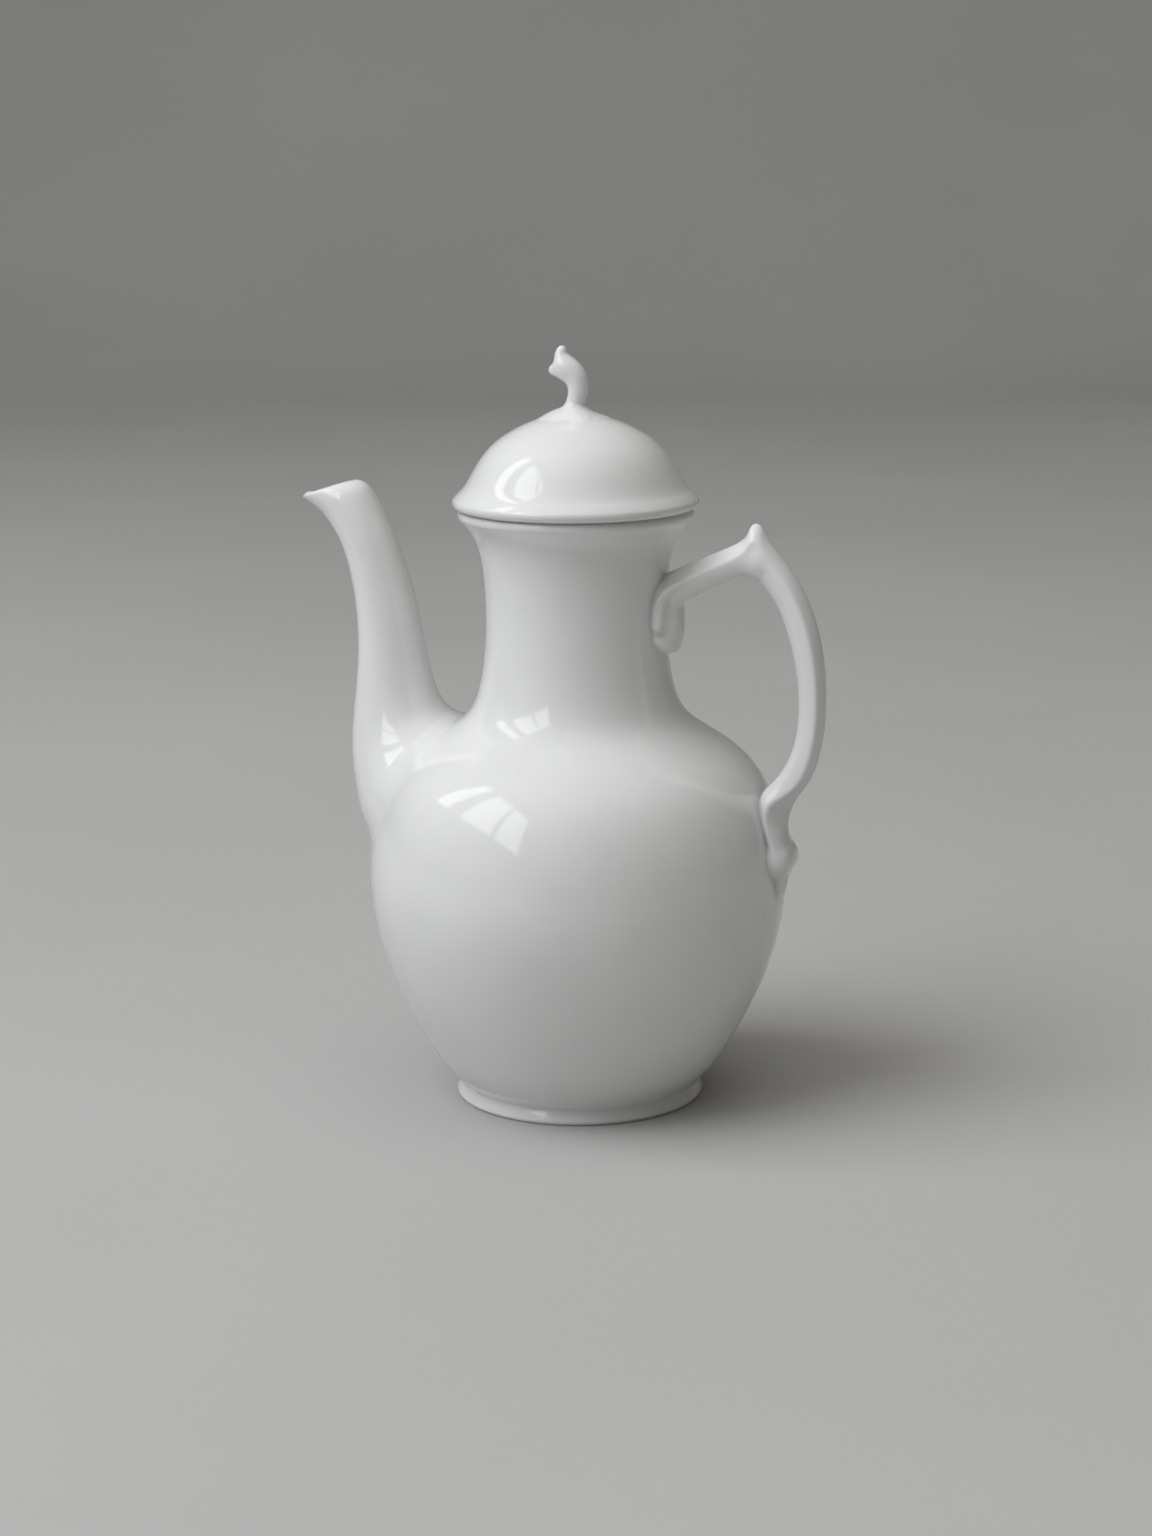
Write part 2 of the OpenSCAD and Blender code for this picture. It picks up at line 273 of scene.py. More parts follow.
def make_dome():
    roll, dome_t = 2, 3.2
    bore_r = flange_r - flange_t
    inner = shifted(lid_outer, dome_t)
    inner = inner[(inner[:, 0] > 0.5) & (inner[:, 1] > seat_z + 7)]
    return lathe("lid_dome", np.vstack([
        even(np.vstack([
            [(0, lid_top - dome_t)],
            inner[::-1],
            [(bore_r + 0.4, seat_z + 4.6), (bore_r, seat_z + 3.6), (bore_r, seat_z)],
        ]), PROFILE_STEP),
        arc((lid_r - roll, seat_z + roll), roll, -90, 35, 16),
        even(lid_outer, PROFILE_STEP)[1:-1],
        [(0, lid_top + dome_rise)],
    ]))


def make_flange():
    edge, low_z = 1, flange_low[2]
    inner_r = flange_r - flange_t
    return lathe("lid_flange", np.vstack([
        even(np.array([(inner_r, seat_z), (inner_r, low_z + edge)]), 2 * PROFILE_STEP),
        arc((inner_r + edge, low_z + edge), edge, 180, 270, 6),
        arc((flange_r - edge, low_z + edge), edge, -90, 0, 6),
        even(np.array([(flange_r, low_z + edge), (flange_r, seat_z)]), 2 * PROFILE_STEP)[1:],
    ]))


# ---------- pieces shaped as distances ----------

# How far from a surface its distance is worked out: in voxels for a loft, in millimetres for a rod
BAND = 9
FAR = 5.0
# Height above the wall over which a fillet's shading turns into the wall's own
BLENDED = 0.3


def joined(a, b, soft):
    """Two solids joined, with a fillet about as wide as soft."""
    h = np.maximum(soft - np.abs(a - b), 0) / soft
    return np.minimum(a, b) - h**3 * soft / 6


def cut(a, b, soft):
    """The first solid less the second, with a rounded edge."""
    return -joined(-a, b, soft)


def shared(a, b, soft):
    """What two solids have in common, with a rounded edge."""
    return -joined(-a, -b, soft)


class Surface:
    """A turned outer surface as a distance, positive outside, with its normals."""

    def __init__(self, line, steep):
        """steep is true where the line is a radius for each height, and false for a dome."""
        line = line[np.argsort(line[:, 1 if steep else 0])]
        self.steep = steep
        self.at, self.value = (line[:, 1], line[:, 0]) if steep else (line[:, 0], line[:, 1])
        self.slope = np.gradient(self.value, self.at)
        self.level = 1 / np.sqrt(1 + self.slope**2)

    def distance(self, x, y, z):
        r = np.hypot(x, y)
        key, other = (z, r) if self.steep else (r, z)
        reach = np.interp(key, self.at, self.value)
        return (other - reach) * np.interp(key, self.at, self.level)

    def normal(self, p):
        r = np.maximum(np.hypot(p[:, 0], p[:, 1]), 1e-6)
        key = p[:, 2] if self.steep else r
        slope = np.interp(key, self.at, self.slope)
        level = np.interp(key, self.at, self.level)
        out, up = (level, -slope * level) if self.steep else (-slope * level, level)
        return np.column_stack([out * p[:, 0] / r, out * p[:, 1] / r, up])


body_wall = Surface(outer_wall, True)
dome_wall = Surface(lid_outer, False)


class Block:
    """A block of voxels, in millimetres, in which a piece is shaped."""

    def __init__(self, low, high, voxel):
        self.voxel = voxel
        self.first = np.floor(np.array(low) / voxel).astype(int)
        self.count = np.ceil(np.array(high) / voxel).astype(int) - self.first + 1
        steps = (f + np.arange(n) for f, n in zip(self.first, self.count))
        index = np.meshgrid(*steps, indexing="ij", sparse=True)
        self.x, self.y, self.z = (i.astype(np.float32) * voxel for i in index)

    def loft(self, rings):
        """The closed solid through rings of points."""
        rings = np.asarray(rings)
        stations, sides = rings.shape[:2]
        points = np.vstack([rings.reshape(-1, 3), rings[0].mean(0), rings[-1].mean(0)])
        i = np.arange(sides)
        j = (i + 1) % sides
        quads = np.vstack([np.column_stack([a + i, a + j, a + sides + j, a + sides + i])
                           for a in np.arange(stations - 1) * sides])
        end = (stations - 1) * sides
        low = np.column_stack([j, i, np.full(sides, stations * sides)])
        high = np.column_stack([end + i, end + j, np.full(sides, stations * sides + 1)])
        grid = vdb.FloatGrid.createLevelSetFromPolygons(
            points.astype(np.float32),
            triangles=np.vstack([low, high]).astype(np.uint32),
            quads=quads.astype(np.uint32),
            transform=vdb.createLinearTransform(self.voxel),
            halfWidth=BAND)
        field = np.empty(self.count, np.float32)
        grid.copyToArray(field, ijk=tuple(int(f) for f in self.first))
        return field

    def rod(self, path, steps=4):
        """A round rod along a smooth path of (x, y, z, radius), and its mirror image across y."""
        path = spline(path, steps)
        low = path[:, :3].min(0) - path[:, 3].max() - FAR
        high = path[:, :3].max(0) + path[:, 3].max() + FAR
        low[1] = -high[1]
        a = np.clip(np.floor(low / self.voxel).astype(int) - self.first, 0, self.count)
        b = np.clip(np.ceil(high / self.voxel).astype(int) - self.first + 1, 0, self.count)
        field = np.full(self.count, FAR, np.float32)
        x, y, z = self.x[a[0]:b[0]], np.abs(self.y[:, a[1]:b[1]]), self.z[:, :, a[2]:b[2]]
        near = field[a[0]:b[0], a[1]:b[1], a[2]:b[2]]
        for p, q in zip(path, path[1:]):
            d = (q - p)[:3]
            t = (x - p[0]) * d[0] + (y - p[1]) * d[1] + (z - p[2]) * d[2]
            t = np.clip(t / max(d @ d, 1e-9), 0, 1)
            gap = (x - p[0] - t * d[0]) ** 2 + (y - p[1] - t * d[1]) ** 2
            gap = np.sqrt(gap + (z - p[2] - t * d[2]) ** 2) - p[3] - t * (q[3] - p[3])
            np.minimum(near, gap, out=near)
        return field

    def ball(self, centre, radii):
        """An ellipsoid and its mirror image across y."""
        x, y, z = ((c - at) / r for c, at, r in
                   zip((self.x, np.abs(self.y), self.z), centre, radii))
        length = np.sqrt(x**2 + y**2 + z**2)
        across = np.sqrt((x / radii[0])**2 + (y / radii[1])**2 + (z / radii[2])**2)
        return length * (length - 1) / np.maximum(across, 1e-6)

    def softened(self, field, passes):
        """The field after a small blur, which rounds creases as glaze does."""
        for _ in range(passes):
            for axis in range(3):
                field = field / 2 + (np.roll(field, 1, axis) + np.roll(field, -1, axis)) / 4
        return field

    def sample(self, field, p):
        """The field at points in millimetres, read between its voxels."""
        at = p / self.voxel - self.first
        i = np.clip(np.floor(at).astype(int), 0, self.count - 2)
        f = at - i
        total = np.zeros(len(p))
        for corner in product((0, 1), repeat=3):
            weight = np.prod(np.where(corner, f, 1 - f), axis=1)
            total += weight * field[tuple((i + corner).T)]
        return total

    def slope(self, field, p):
        """The field's gradient at points."""
        steps = np.eye(3) * self.voxel
        return np.column_stack([self.sample(field, p + s) - self.sample(field, p - s)
                                for s in steps]) / (2 * self.voxel)

    def mesh(self, name, field, under):
        """The piece's surface. Its shading runs into that of the surface under it."""
        grid = vdb.FloatGrid(FAR)
        grid.transform = vdb.createLinearTransform(self.voxel)
        grid.copyFromArray(field, ijk=tuple(int(f) for f in self.first))
        points, quads = grid.convertToQuads(0.0)
        points, quads = largest_lump(points.astype(float), quads.astype(int))
        for _ in range(3):
            g = self.slope(field, points)
            points -= (self.sample(field, points) / np.maximum((g**2).sum(1), 0.1))[:, None] * g
        a, b, c = (points[quads[:, k]] for k in range(3))
        if (np.cross(b - a, c - a) * self.slope(field, a)).sum() < 0:
            quads = quads[:, ::-1]
        height = np.abs(under.distance(*points.T))
        share = np.clip(height / BLENDED, 0, 1)[:, None]
        share = share**2 * (3 - 2 * share)
        normals = self.slope(field, points)
        normals /= np.maximum(np.linalg.norm(normals, axis=1), 1e-6)[:, None]
        normals = share * normals + (1 - share) * under.normal(points)
        obj = new_object(name, points, quads.tolist())
        obj.data.shade_smooth()
        obj.data.normals_split_custom_set_from_vertices(normals.tolist())
        return obj


def largest_lump(points, quads):
    """The largest connected part of a mesh, without stray bits."""
    label = np.arange(len(points))
    while True:
        least = label[quads].min(axis=1)
        lower = label.copy()
        np.minimum.at(lower, quads.ravel(), np.repeat(least, quads.shape[1]))
        lower = lower[lower]
        if (lower == label).all():
            break
        label = lower
    names, counts = np.unique(label, return_counts=True)
    kept = label == names[counts.argmax()]
    place = np.cumsum(kept) - 1
    return points[kept], place[quads[kept[quads[:, 0]]]]


def luted(block, piece, under, soft):
    """A piece with a fillet onto the surface under it, without what that surface hides."""
    over = under.distance(block.x, block.y, block.z)
    field = joined(piece, over + skin, soft)
    field = np.maximum(field, piece - soft - 0.5)
    return np.maximum(field, -luting - over).astype(np.float32)


# ---------- spout ----------

def spout_ring(station, sides):
    """An oval ring of the spout. station is front r and z, back r and z, half width."""
    t = np.arange(sides) * 2 * math.pi / sides
    front, back, half_w = station[:2], station[2:4], station[4]
    p = (front + back) / 2 + np.cos(t)[:, None] * (front - back) / 2
    return np.column_stack([-p[:, 0], half_w * np.sin(t), p[:, 1]])


def root_ring(half_w, low_z, high_z, depth, sides):
    """A ring round the spout's root, sunk into the belly."""
    t = np.arange(sides) * 2 * math.pi / sides
    z = (low_z + high_z) / 2 - (high_z - low_z) / 2 * np.cos(t)
    y = half_w * np.sin(t)
    r = np.interp(z, body_wall.at, body_wall.value) - depth
    return np.column_stack([-np.sqrt(r**2 - y**2), y, z])


def make_spout():
    voxel, sides = 0.45, 96
    block = Block((-mouth_tip - 3, -42, root_low_z - 6), (-36, 42, mouth_top + 4), voxel)
    # Front edge r and z, back edge r and z, half width
    stations = np.array([
        [74, 91, 45.5, 126.5, 27],
        [78, 103, 49.5, 129.5, 20],
        [79.5, 118, 52, 137, 16],
        [77, 136, 54, 148, 13.5],
        [76, 152, 56.5, 161, 12],
        [77.5, 168, 60, 174, 10.8],
        [81, 182, 65, 188, 10],
        [87, 191, 70.5, 198.5, 9],
        [90.4, 194.2, 73, 202.5, 8.6],
        [mouth_tip - 2, 196.4, 76.8, mouth_top, 7.6],
        [mouth_tip + 3, 198.6, 80.6, mouth_top + 1.3, 6.6],
    ])
    root_high_z = 124.5
    smooth = spline(stations, 6)
    outer = [root_ring(38, root_low_z, root_high_z, luting, sides)]
    outer += [spout_ring(s, sides) for s in smooth]

    # The wall thins towards the mouth, and is a little thicker under the lip
    share = np.linspace(0, 1, len(smooth))
    root_t, mouth_t, lip_extra = 3, 2.1, 0.3
    thick = root_t + (mouth_t - root_t) * share
    forward = smooth[:, :2] - smooth[:, 2:4]
    forward *= (thick / np.linalg.norm(forward, axis=1))[:, None]
    inner = np.column_stack([smooth[:, :2] - forward * (1 + lip_extra * share[:, None]),
                             smooth[:, 2:4] + forward, smooth[:, 4] - thick])
    bore = [root_ring(30, root_low_z + 8, root_high_z - 8, 2 * luting, sides)]
    bore += [spout_ring(s, sides) for s in inner]

    # The mouth's plane from the back to the tip, a little crowned
    back, tip = np.array([-76.8, mouth_top + 0.3]), np.array([-mouth_tip + 1, 198.3])
    length = np.linalg.norm(tip - back)
    along = (tip - back) / length
    reach = (block.x - back[0]) * along[0] + (block.z - back[1]) * along[1]
    above = (block.x - back[0]) * along[1] - (block.z - back[1]) * along[0]
    t = np.clip(reach / length, 0, 1)
    crown = 0.4 * t * (1 - t)
    field = shared(block.loft(outer), above - crown, 1.6)
    field = luted(block, field, body_wall, 3.2)
    field = cut(field, block.loft(bore), 0.8)
    # The lip is cut back a little and ends in a blunt bead
    bead = block.rod([(-mouth_tip + 1.85, 0, 197.95, 1.15), (-mouth_tip + 4.4, 0, 198.4, 1)])
    field = joined(shared(field, -mouth_tip + 0.9 - block.x, 1.2), bead, 1.2)
    return block.mesh("spout", block.softened(field, 1), body_wall)


# ---------- handle ----------

def strap_ring(station, sides):
    """A ring of the handle: a gable on its outer side, with a ridge on each flank, and a round
    inner side. station is outer r and z, inner r and z, half width, the ridge's share of the
    depth, and how far the section is softened to an oval."""
    outer, inner, (half_w, ridge, oval) = station[:2], station[2:4], station[4:]
    t = np.linspace(0, math.pi, sides // 2 + 1)
    bend = 0.55 * math.pi
    u = np.clip((t - bend) / (math.pi - bend), 0, 1) * math.pi / 2
    depth = np.where(t < bend, ridge * t / bend, ridge + (1 - ridge) * np.sin(u))
    width = np.where(t < bend, t / bend, np.cos(u) ** 0.8)
    depth = (1 - oval) * depth + oval * (1 - np.cos(t)) / 2
    width = (1 - oval) * width + oval * np.sin(t)
    depth = np.concatenate([depth, depth[-2:0:-1]])
    width = np.concatenate([width, -width[-2:0:-1]])
    p = outer + depth[:, None] * (inner - outer)
    return np.column_stack([p[:, 0], half_w * width, p[:, 1]])


def rounded_strap(block, stations, edge, sides=64):
    """A strap whose corners are rounded by edge, which its stations include."""
    smooth = spline(stations, 6)
    inward = smooth[:, 2:4] - smooth[:, 0:2]
    inward *= edge / np.linalg.norm(inward, axis=1)[:, None]
    smooth[:, 0:2] += inward
    smooth[:, 2:4] -= inward
    smooth[:, 4] -= edge
    return block.loft([strap_ring(s, sides) for s in smooth]) - edge


def wall_r(z):
    """Outer radius of the body at a height."""
    return np.interp(z, body_wall.at, body_wall.value)


def make_handle():
    voxel = 0.36
    block = Block((24, -14, drop_low_z - 4), (handle_reach + 3, 14, spur_z + 4), voxel)
    strap = 5.2
    # Outer r and z, inner r and z, half width, ridge's share of the depth, ovalness
    strip = [
        [24, 174, 26, 162.5, strap + 2, 0.42, 0],
        [33, 178, 35, 166.3, strap + 1.6, 0.42, 0],
        [39, 181.1, 42, 170.4, strap + 0.6, 0.42, 0],
        [48, 184.8, 50, 174.7, strap, 0.4, 0],
        [54.5, 187.6, 56.5, 177.2, strap, 0.34, 0.1],
        [58.8, 190.6, 59.4, 177.4, strap, 0.26, 0.2],
        [59.6, spur_z - 0.8, 60.9, 177.2, strap - 0.8, 0.2, 0.3],
        [62.3, spur_z - 1, 62, 176.6, strap - 0.8, 0.16, 0.3],
        [63.8, 191, 63, 175.6, strap - 0.2, 0.13, 0.3],
        [67.6, 185.8, 65.2, 173.1, strap, 0.11, 0.3],
        [75.5, 176.8, 69.2, 167.3, strap, 0.09, 0.3],
        [82.5, 161, 73.2, 155.4, strap, 0.08, 0.3],
        [handle_reach, 142, 75.8, 141, strap, 0.08, 0.3],
        [84, 124.2, 75.4, 126.5, strap, 0.06, 0.3],
        [80.1, 111.4, 71.8, 116.4, strap + 0.2, 0.12, 0.2],
        [75.5, 106.2, 66.8, 109.8, strap + 0.8, 0.3, 0],
        [73, 101.5, 62, 106, strap + 1.8, 0.6, 0],
        [72.2, 97.6, wall_r(98) - luting, 98, strap + 3, 0.8, 0],
        [72.3, 94, wall_r(94) - luting, 94, strap + 3.8, 0.75, 0.3],
        [72.8, 90, wall_r(89.6) - luting, 89.6, strap + 4.2, 0.6, 0.7],
        [72.9, 86, wall_r(86) - luting, 86, strap + 4.2, 0.5, 1],
        [72.9, 82.6, wall_r(83) - luting, 83, strap + 3.6, 0.5, 1],
        [72.4, 79.6, wall_r(80.4) - luting, 80.4, strap + 1.6, 0.5, 1],
        [72, 77.4, wall_r(78) - luting, 78, 4, 0.5, 1],
        [71.6, 74.8, wall_r(75.6) - luting, 75.6, 3.6, 0.5, 1],
        [70.2, drop_low_z - 0.6, wall_r(73) - luting, drop_low_z, 2.4, 0.5, 1],
    ]
    field = rounded_strap(block, strip, 0.8)

    # The tongue on the neck, an oval in plan: height, depth and half width
    tongue = spline([
        (174, 3, 5.5), (171.5, 7, 7.2), (168, 8.6, 8), (163, 8.8, 8.2), (158, 8.8, 8),
        (155, 8.4, 7.4), (153, 6.8, 6), (tongue_low_z + 0.4, 4, 3.6), (tongue_low_z - 0.4, 1, 1),
    ], 4)
    t = np.arange(64) * 2 * math.pi / 64
    pad = block.loft([np.column_stack([28 + depth * np.cos(t), half_w * np.sin(t),
                                       np.full(len(t), z)]) for z, depth, half_w in tongue])
    field = joined(field, pad, 3)
    # The arm's ridge turns down along the tongue's edges and ends in a round lobe
    lobe = block.rod([(38, 5.6, 175.2, 0.9), (34.6, 6.2, 173.2, 1.3), (31.8, 7, 170.8, 1.7),
                      (30.6, 7.7, 167.6, 2), (30.3, 8, 164.2, 2.1), (30.2, 8, 161, 2.1)])
    chin = block.rod([(30, 7, 156.6, 1.5), (31.2, 5.9, 155, 2), (32.4, 3.4, 153.8, 2.3),
                      (32.9, 0, 153.4, 2.4)])
    hollow = block.rod([(29.8, 10, 158.6, 0.9), (32, 8.5, 158.4, 1.1), (33.8, 7, 159.4, 0.9),
                        (35, 6.4, 161.6, 0.4)])
    field = joined(field, chin, 2.4)
    field = cut(field, hollow, 2)
    field = joined(field, lobe, 1.6)
    # The bead under the fold
    field = joined(field, block.rod([(68.9, 0, 85.4, 5.8), (68.9, 4.5, 85.1, 5.5)]), 2.5)
    # Full, soft flanks under the spur, where the arm meets the loop
    field = joined(field, block.ball((61.8, 0, 182.4), (6, 5.4, 6)), 2)
    near = np.exp(-((block.x - 61.5) ** 2 + (block.z - 181) ** 2) / 7**2)
    field = field + near * (block.softened(field, 24) - field)
    field = luted(block, block.softened(field, 1), body_wall, 0.9)
    return block.mesh("handle", field, body_wall)


# ---------- knob ----------

def leaves(x, y):
    """Height of the low leaves that spread over the dome from the twig."""
    total = np.zeros(np.broadcast(x, y).shape)
    for turn, length, width in ((20, 14, 4.6), (92, 11, 4.2), (164, 12.5, 4.4),
                                (236, 12, 4.6), (308, 13, 4.2)):
        c, s = math.cos(math.radians(turn)), math.sin(math.radians(turn))
        along, across = x * c + y * s, y * c - x * s
        share = np.clip((along - 2) / (length - 2), 0, 1)
        half = width * np.clip(np.sin(math.pi * share**0.7), 0, 1) ** 0.8 + 1e-3
        lens = np.clip(1 - (across / half) ** 2, 0, 1)
        vein = 1 - 0.2 * np.exp(-(across / 0.6) ** 2)
        total = np.maximum(total, 1.1 * lens**0.9 * vein * (1 - share**3))
    return total


def make_knob():
    voxel, spread = 0.22, 17
    reach = spread + 2
    block = Block((-reach, -reach, lid_top - 8), (reach, reach, twig_top + 2), voxel)
    r = 3.5
    twig = block.rod([
        (0.4, 0, lid_top - 4, 1.4 * r), (0.1, 0, lid_top + 1.2, 1.05 * r),
        (0.1, 0, lid_top + 3.7, 0.83 * r), (1.3, 0, twig_top - 14.8, 0.93 * r),
        (1.2, 0, twig_top - 10.8, 1.06 * r), (-1.2, 0, twig_top - 7.8, 1.1 * r),
        (-3, 0, twig_top - 6.6, r),
    ], 6)
    shoot = block.rod([
        (-3, 0, twig_top - 7.8, 0.85 * r), (-4.1, 0, twig_top - 5, 0.72 * r),
        (-4.7, 0, twig_top - 2.8, 0.6 * r), (-4.3, 0, twig_top - 0.44 * r, 0.48 * r),
    ], 6)
    stub = block.rod([
        (-3.2, 0, twig_top - 7.2, 0.85 * r), (-5.4, 0, twig_top - 7.6, 0.66 * r),
        (-7.2, 0, twig_top - 7.8, 0.5 * r), (twig_x + 0.6 * r, 0, twig_top - 7.8, 0.48 * r),
    ], 6)
    stem = joined(joined(twig, shoot, 3), stub, 2.4)
    # The leaves lie on a low mound. Round them the sheet stays just under the dome, out of sight
    over = dome_wall.distance(block.x, block.y, block.z)
    relief = leaves(block.x, block.y)
    mound = 2.3 * np.exp(-(((block.x + 1.6)**2 + block.y**2) / 9.5**2) ** 1.5)
    sheet = over + 0.12 + 1.15 * (joined(-relief, -mound, 1.0) + 0.25)
    field = joined(stem, sheet + skin, 4)
    field = np.maximum(field, -luting - over)
    beyond = np.hypot(block.x, block.y) - spread
    field = np.maximum(field, beyond).astype(np.float32)
    return block.mesh("knob", block.softened(field, 1), dome_wall)


# ---------- materials ----------

def new_material(name):
    """A node material, with its nodes, links and shader."""
    material = bpy.data.materials.new(name)
    material.use_nodes = True
    nodes, links = material.node_tree.nodes, material.node_tree.links
    return material, nodes, links, nodes["Principled BSDF"]


def noise(nodes, links, where, scale, detail=2.0, roughness=0.5):
    """A noise texture in the pot's own space, in metres."""
    node = nodes.new("ShaderNodeTexNoise")
    node.inputs["Scale"].default_value = scale
    node.inputs["Detail"].default_value = detail
    node.inputs["Roughness"].default_value = roughness
    links.new(where, node.inputs["Vector"])
    return node.outputs["Fac"]


def ranged(nodes, links, value, low, high, to_low, to_high):
    """A value carried from one range to another."""
    node = nodes.new("ShaderNodeMapRange")
    for key, number in (("From Min", low), ("From Max", high), ("To Min", to_low),
                        ("To Max", to_high)):
        node.inputs[key].default_value = number
    links.new(value, node.inputs["Value"])
    return node.outputs["Result"]


def blended(nodes, links, share, first, second):
    """A mix of two colours."""
    node = nodes.new("ShaderNodeMix")
    node.data_type = "RGBA"
    links.new(share, node.inputs["Factor"])
    for socket, colour in ((node.inputs[6], first), (node.inputs[7], second)):
        if isinstance(colour, tuple):
            socket.default_value = (*colour, 1)
        else:
            links.new(colour, socket)
    return node.outputs[2]


def bumped(nodes, links, height, distance, strength, under=None):
    """A bump from a height, on top of another bump."""
    node = nodes.new("ShaderNodeBump")
    node.inputs["Strength"].default_value = strength
    node.inputs["Distance"].default_value = distance
    links.new(height, node.inputs["Height"])
    if under is not None:
        links.new(under, node.inputs["Normal"])
    return node.outputs["Normal"]


def glazed_porcelain():
    """Cool white porcelain under a clear gloss glaze that lies a little unevenly."""
    material, nodes, links, shader = new_material("glazed_porcelain")
    where = nodes.new("ShaderNodeTexCoord").outputs["Object"]
    clouds = ranged(nodes, links, noise(nodes, links, where, 28, 3), 0.3, 0.7, 0, 1)
    white = blended(nodes, links, clouds, (0.835, 0.84, 0.835), (0.80, 0.805, 0.80))
    # Painted shade: creases are darkened by ambient occlusion, with a slight cool tint like pooled
    # glaze
    crease_occlusion = nodes.new("ShaderNodeAmbientOcclusion")
    crease_occlusion.inputs["Distance"].default_value = 4 * MM
    crease_occlusion.samples = 6
    painted_crease_shade = ranged(nodes, links, crease_occlusion.outputs["AO"], 0.35, 0.95, 0.55, 0)
    white = blended(nodes, links, painted_crease_shade, white, (0.64, 0.655, 0.65))
    # Sparse iron specks, as fine as pinholes
    cells = nodes.new("ShaderNodeTexVoronoi")
    cells.inputs["Scale"].default_value = 90
    links.new(where, cells.inputs["Vector"])
    speck = ranged(nodes, links, cells.outputs["Distance"], 0.012, 0.022, 0.35, 0)
    white = blended(nodes, links, speck, white, (0.42, 0.38, 0.34))
    links.new(white, shader.inputs["Base Color"])
    gloss = ranged(nodes, links, noise(nodes, links, where, 60, 4), 0.3, 0.7, 0.07, 0.12)
    links.new(gloss, shader.inputs["Roughness"])
    shader.inputs["IOR"].default_value = 1.52
    shader.inputs["Subsurface Weight"].default_value = 0.12
    shader.inputs["Subsurface Radius"].default_value = (1.0, 0.9, 0.8)
    shader.inputs["Subsurface Scale"].default_value = 1.2 * MM
    shader.inputs["Coat Weight"].default_value = 0.35
    shader.inputs["Coat Roughness"].default_value = 0.03
    wave = bumped(nodes, links, noise(nodes, links, where, 45, 1), 0.35 * MM, 0.25)
    peel = bumped(nodes, links, noise(nodes, links, where, 700, 2), 0.02 * MM, 0.3, wave)
    links.new(peel, shader.inputs["Normal"])
    links.new(wave, shader.inputs["Coat Normal"])
    return material


def biscuit():
    """The bare fired clay of the foot's resting face, wiped clean of glaze."""
    material, nodes, links, shader = new_material("biscuit")
    where = nodes.new("ShaderNodeTexCoord").outputs["Object"]
    stain = ranged(nodes, links, noise(nodes, links, where, 160, 5), 0.35, 0.7, 0, 1)
    colour = blended(nodes, links, stain, (0.74, 0.71, 0.65), (0.58, 0.54, 0.47))
    links.new(colour, shader.inputs["Base Color"])
    shader.inputs["Roughness"].default_value = 0.75
    grain = bumped(nodes, links, noise(nodes, links, where, 2400, 4), 0.08 * MM, 0.6)
    links.new(grain, shader.inputs["Normal"])
    return material


def pale_floor():
    """A matt, pale grey sheet with faint clouds."""
    material, nodes, links, shader = new_material("pale_floor")
    where = nodes.new("ShaderNodeTexCoord").outputs["Object"]
    clouds = ranged(nodes, links, noise(nodes, links, where, 3, 3), 0.3, 0.7, 0, 1)
    colour = blended(nodes, links, clouds, (0.50, 0.50, 0.495), (0.47, 0.47, 0.465))
    links.new(colour, shader.inputs["Base Color"])
    shader.inputs["Roughness"].default_value = 0.85
    shader.inputs["Specular IOR Level"].default_value = 0.2
    return material


# ---------- the pieces, in place ----------

glaze, bare_clay = glazed_porcelain(), biscuit()


def place(piece, body, *nodes):
    """Gives a piece its body and its finish, and hides the CAD nodes that it stands for."""
    piece.data.materials.clear()
    piece.data.materials.append(glaze)
    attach(piece, body)
    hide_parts(*nodes)
    return piece


place(make_body(), "pot", "body_shell")
foot = place(make_foot(), "pot", "foot_ring")
place(make_spout(), "pot", *SPOUT)
place(make_handle(), "pot", *HANDLE)
place(make_dome(), "lid", "lid_dome")
place(make_flange(), "lid", "lid_flange")
place(make_knob(), "lid", *KNOB)

# The foot's resting face is bare
foot.data.materials.append(bare_clay)
for face in foot.data.polygons:
    if face.center.z < 0.35 * MM:
        face.material_index = 1


# ---------- floor, lights and camera ----------

# The camera looks squarely at the plane of the spout and handle, but turned by this. RIGHT and
# FRONT point to its right and towards it.
TURN = math.radians(19)
RIGHT = np.array([math.cos(TURN), math.sin(TURN), 0])
FRONT = np.array([math.sin(TURN), -math.cos(TURN), 0])


def make_floor():
    """A pale sheet that sweeps up behind the pot, far outside its shadow."""
    reach, back, bend, high = 3.0, 2.2, 0.8, 3.2
    line = np.vstack([
        [(-reach, 0)],
        arc((back, bend), bend, -90, 0, 24),
        [(back + bend, high)],
    ])
    points = []
    for side in (-4, 4):
        points += [tuple(side * RIGHT - d * FRONT + np.array([0, 0, z])) for d, z in line]
    n = len(line)
    faces = [[i, i + 1, n + i + 1, n + i] for i in range(n - 1)]
    floor = new_object("floor", np.array(points) / MM, faces)
    floor.data.shade_smooth()
    floor.data.materials.append(pale_floor())


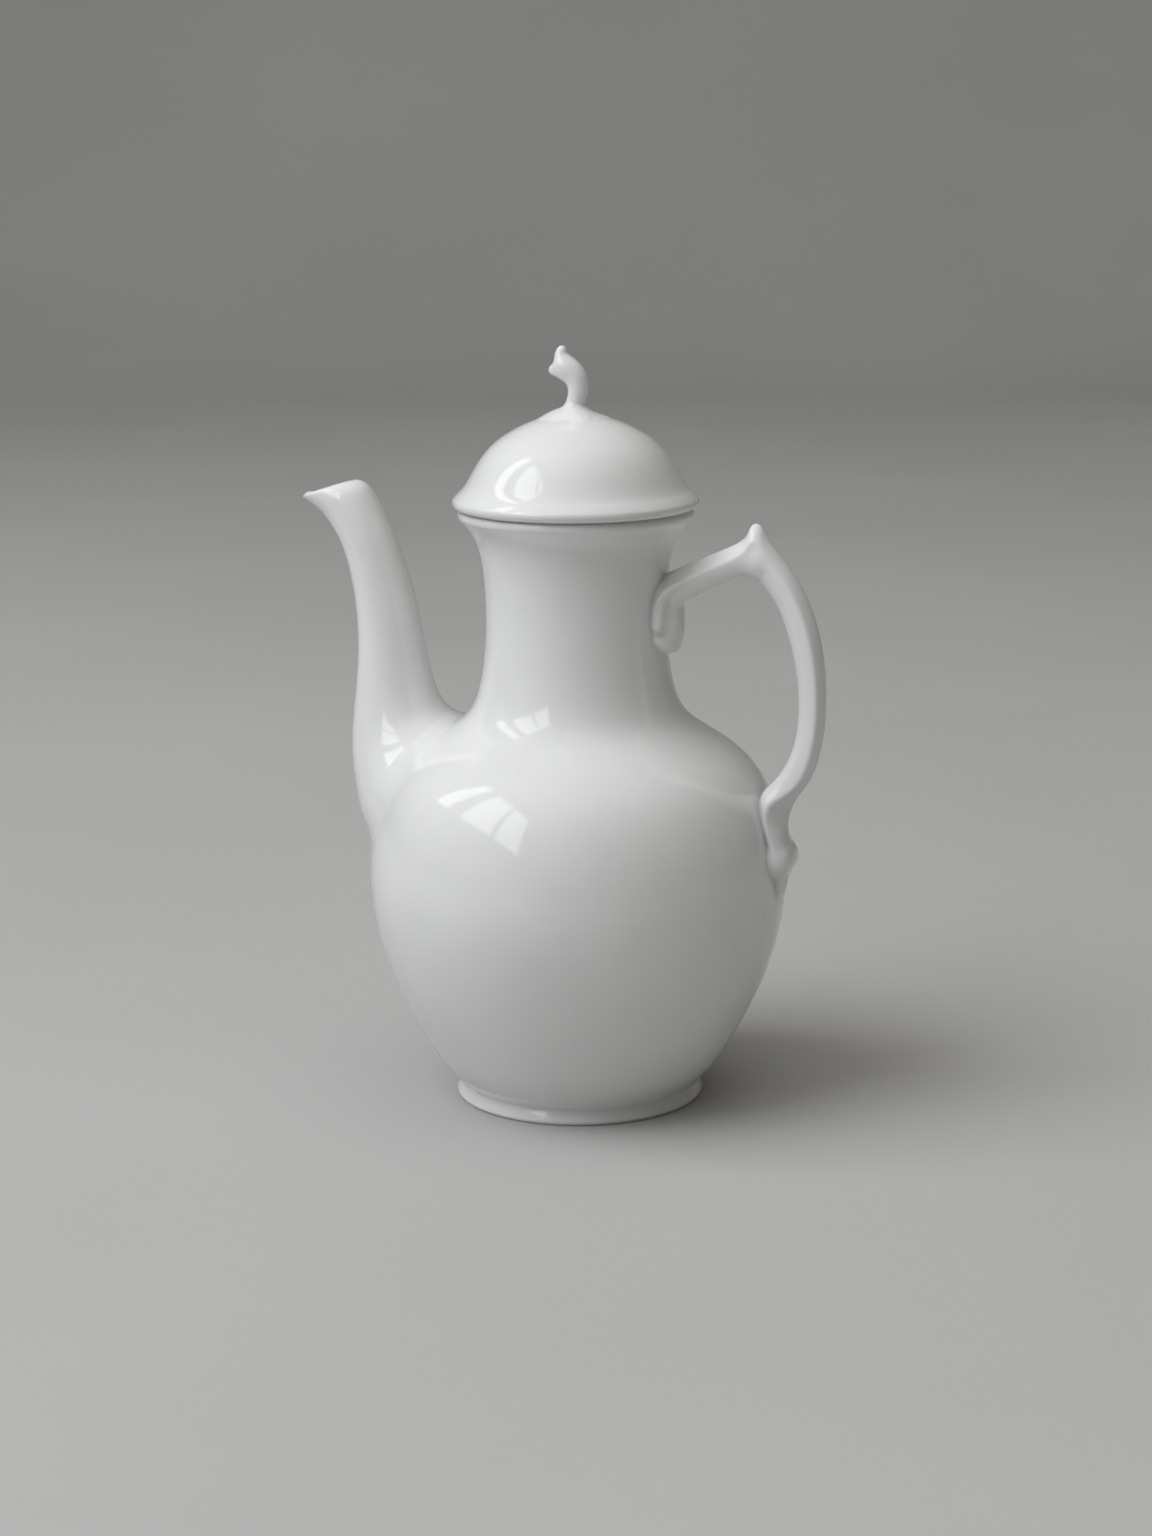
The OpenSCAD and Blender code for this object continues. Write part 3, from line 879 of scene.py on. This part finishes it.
def area_light(name, centre, target, size, radiance, colour=(1, 1, 1)):
    """A rectangular light of a given radiance, facing a point."""
    light = bpy.data.lights.new(name, "AREA")
    light.shape = "RECTANGLE"
    light.size, light.size_y = size
    light.energy = radiance * math.pi * size[0] * size[1]
    light.color = colour
    obj = bpy.data.objects.new(name, light)
    bpy.context.scene.collection.objects.link(obj)
    look = Vector(centre) - Vector(target)
    obj.rotation_euler = look.to_track_quat("Z", "Y").to_euler()
    obj.location = centre
    return obj


def make_lights():
    """A window on the left, daylight round it, and the dim light of the room."""
    # A window of three tall panes on the left, mirrored in the belly, shoulder and lid
    window = 1.5
    low, high = 0.95, 2.5
    for i, (start, end) in enumerate(((-0.43, -0.08), (0.26, 1.08), (1.22, 2.2))):
        centre = -window * RIGHT + (start + end) / 2 * FRONT
        centre[2] = (low + high) / 2
        area_light(f"pane_{i}", centre, centre + RIGHT, (end - start, high - low), 2.4,
                   (0.97, 0.985, 1.0))
    # Daylight from the same side, and the soft light of the room from above, both too even to
    # leave a mirrored outline in the glaze
    sky = area_light("sky", -1.4 * RIGHT + 0.5 * FRONT + [0, 0, 2.1], (0, 0, 0.12), (2, 1.6), 3.4,
                     (0.97, 0.985, 1.0))
    room = area_light("room", (0.2, -0.2, 2.6), (0, 0, 0), (2.6, 2.6), 1.0, (1.0, 0.985, 0.96))
    for light in (sky, room):
        light.visible_glossy = False
    world = bpy.data.worlds.new("room")
    world.use_nodes = True
    air = world.node_tree.nodes["Background"]
    air.inputs["Color"].default_value = (1.0, 0.975, 0.94, 1)
    air.inputs["Strength"].default_value = 0.13
    bpy.context.scene.world = world


def make_camera():
    """The photo's camera: about a metre away and looking a little down."""
    away, height = 1.046, 0.3439
    pitch, roll = math.radians(12.56), math.radians(-0.44)
    camera = bpy.data.cameras.new("camera")
    camera.sensor_width = 36
    camera.lens = 75.9
    camera.shift_x, camera.shift_y = -0.0011, -0.00065
    obj = bpy.data.objects.new("camera", camera)
    bpy.context.scene.collection.objects.link(obj)
    turned = (Matrix.Rotation(TURN, 4, "Z") @ Matrix.Rotation(math.pi / 2 - pitch, 4, "X")
              @ Matrix.Rotation(roll, 4, "Z"))
    obj.matrix_world = Matrix.Translation((*(away * FRONT)[:2], height)) @ turned
    bpy.context.scene.camera = obj


make_floor()
make_lights()
make_camera()
bpy.context.scene.view_settings.view_transform = "Standard"

bpy.context.view_layer.update()
